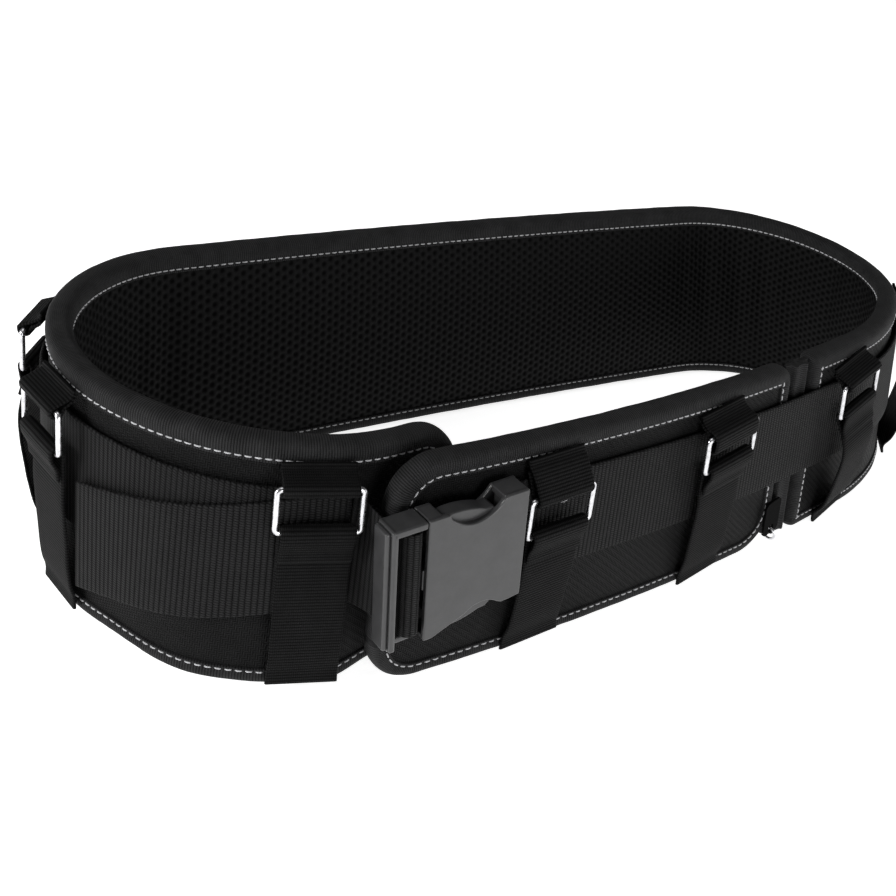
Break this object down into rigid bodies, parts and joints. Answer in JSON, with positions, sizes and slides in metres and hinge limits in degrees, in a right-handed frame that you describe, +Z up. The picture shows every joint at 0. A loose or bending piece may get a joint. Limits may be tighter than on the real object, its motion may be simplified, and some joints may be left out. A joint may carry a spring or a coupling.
{
  "type": "tool belt",
  "caption": "Padded waist belt for tools, closed by a wide side-release buckle, with webbing held under straps and wire rings.",
  "frame": {"origin": "centre of the belt's box in plan, at the height of the pads' lower edges", "axes": "+X along the front wall from the buckle to the right end, +Y from the buckle's wall to the back wall, +Z up"},
  "size_m": [0.5563, 0.2398, 0.1226],
  "materials": {
    "woven_shell": "black woven nylon",
    "mesh_lining": "black air mesh",
    "foam": "closed-cell foam",
    "edge_binding": "black binding tape with pale stitching",
    "webbing": "black nylon webbing",
    "strap_webbing": "black soft webbing",
    "buckle_plastic": "semi-gloss moulded acetal",
    "ring_wire": "plated steel wire",
    "rivet": "plated rivet"
  },
  "bodies": {
    "belt": {"buckle_female_body": "buckle_plastic", "end_tab": "strap_webbing", "front_binding": "edge_binding", "front_foam": "foam", "front_lining": "mesh_lining", "front_shell": "woven_shell", "join_strip": "woven_shell", "keeper_10_strap": "strap_webbing", "keeper_10_tab": "strap_webbing", "keeper_1_strap": "strap_webbing", "keeper_1_tab": "strap_webbing", "keeper_2_strap": "strap_webbing", "keeper_2_tab": "strap_webbing", "keeper_3_strap": "strap_webbing", "keeper_3_tab": "strap_webbing", "keeper_4_strap": "strap_webbing", "keeper_4_tab": "strap_webbing", "keeper_5_strap": "strap_webbing", "keeper_5_tab": "strap_webbing", "keeper_6_strap": "strap_webbing", "keeper_6_tab": "strap_webbing", "keeper_7_strap": "strap_webbing", "keeper_7_tab": "strap_webbing", "keeper_8_strap": "strap_webbing", "keeper_8_tab": "strap_webbing", "keeper_9_strap": "strap_webbing", "keeper_9_tab": "strap_webbing", "main_binding": "edge_binding", "main_foam": "foam", "main_lining": "mesh_lining", "main_shell": "woven_shell", "waist_webbing": "webbing", "webbing_anchor_loop": "webbing", "webbing_rivet": "rivet", "webbing_tail": "webbing"},
    "buckle_plug": {"buckle_male_frame": "buckle_plastic", "webbing_fold": "webbing"},
    "upper_arm": {"buckle_upper_arm": "buckle_plastic"},
    "lower_arm": {"buckle_lower_arm": "buckle_plastic"},
    "ring_1": {"keeper_1_ring": "ring_wire"},
    "ring_2": {"keeper_2_ring": "ring_wire"},
    "ring_3": {"keeper_3_ring": "ring_wire"},
    "ring_4": {"keeper_4_ring": "ring_wire"},
    "ring_5": {"keeper_5_ring": "ring_wire"},
    "ring_6": {"keeper_6_ring": "ring_wire"},
    "ring_7": {"keeper_7_ring": "ring_wire"},
    "ring_8": {"keeper_8_ring": "ring_wire"},
    "ring_9": {"keeper_9_ring": "ring_wire"},
    "ring_10": {"keeper_10_ring": "ring_wire"},
    "end_ring": {"end_ring": "ring_wire"}
  },
  "joints": [
    {"name": "plug_slide", "type": "slide", "parent": "belt", "child": "buckle_plug", "axis": [-0.9921, 0.0694, -0.1045], "range_m": [0, 0.038], "deforming": ["webbing_fold"]},
    {"name": "upper_arm_squeeze", "type": "hinge", "parent": "buckle_plug", "child": "upper_arm", "pos_m": [-0.16878, -0.10668, 0.0828], "axis": [0.0698, 0.9976, 0], "range_deg": [0, 6], "stiffness_Nm_per_rad": 0.05},
    {"name": "lower_arm_squeeze", "type": "hinge", "parent": "buckle_plug", "child": "lower_arm", "pos_m": [-0.16481, -0.10695, 0.04501], "axis": [-0.0698, -0.9976, 0], "range_deg": [0, 6], "stiffness_Nm_per_rad": 0.05},
    {"name": "ring_1_swing", "type": "hinge", "parent": "belt", "child": "ring_1", "pos_m": [-0.10068, -0.11446, 0.08724], "axis": [0.9972, -0.0332, 0.0665], "range_deg": [-4, 4]},
    {"name": "ring_2_swing", "type": "hinge", "parent": "belt", "child": "ring_2", "pos_m": [0.00699, -0.11357, 0.09437], "axis": [0.9866, 0.0504, 0.1554], "range_deg": [-4, 4]},
    {"name": "ring_3_swing", "type": "hinge", "parent": "belt", "child": "ring_3", "pos_m": [0.1215, -0.10287, 0.09616], "axis": [0.9597, 0.1421, 0.2423], "range_deg": [-4, 4]},
    {"name": "ring_4_swing", "type": "hinge", "parent": "belt", "child": "ring_4", "pos_m": [0.22931, -0.05729, 0.10022], "axis": [0.6413, 0.7373, 0.2123], "range_deg": [-4, 4]},
    {"name": "ring_5_swing", "type": "hinge", "parent": "belt", "child": "ring_5", "pos_m": [0.21731, 0.07571, 0.10601], "axis": [-0.7537, 0.6164, -0.2281], "range_deg": [-4, 4]},
    {"name": "ring_6_swing", "type": "hinge", "parent": "belt", "child": "ring_6", "pos_m": [0.06813, 0.10433, 0.10591], "axis": [-0.979, 0.087, -0.1844], "range_deg": [-4, 4]},
    {"name": "ring_7_swing", "type": "hinge", "parent": "belt", "child": "ring_7", "pos_m": [-0.08678, 0.11443, 0.10633], "axis": [-0.9965, 0.0462, -0.0699], "range_deg": [-4, 4]},
    {"name": "ring_8_swing", "type": "hinge", "parent": "belt", "child": "ring_8", "pos_m": [-0.24843, 0.08409, 0.10486], "axis": [-0.6624, -0.7492, 0], "range_deg": [-4, 4]},
    {"name": "ring_9_swing", "type": "hinge", "parent": "belt", "child": "ring_9", "pos_m": [-0.27319, 0.01739, 0.10169], "axis": [0.0133, -0.9999, 0], "range_deg": [-4, 4]},
    {"name": "ring_10_swing", "type": "hinge", "parent": "belt", "child": "ring_10", "pos_m": [-0.2035, -0.08455, 0.09765], "axis": [0.9163, -0.4004, 0], "range_deg": [-4, 4]},
    {"name": "end_ring_swing", "type": "hinge", "parent": "belt", "child": "end_ring", "pos_m": [0.08254, -0.10117, 0.01079], "axis": [0.9747, 0.0971, 0.2014], "range_deg": [-30, 30]}
  ],
  "couplings": [
    {"joint": "lower_arm_squeeze", "follows": "upper_arm_squeeze", "ratio": 1}
  ]
}
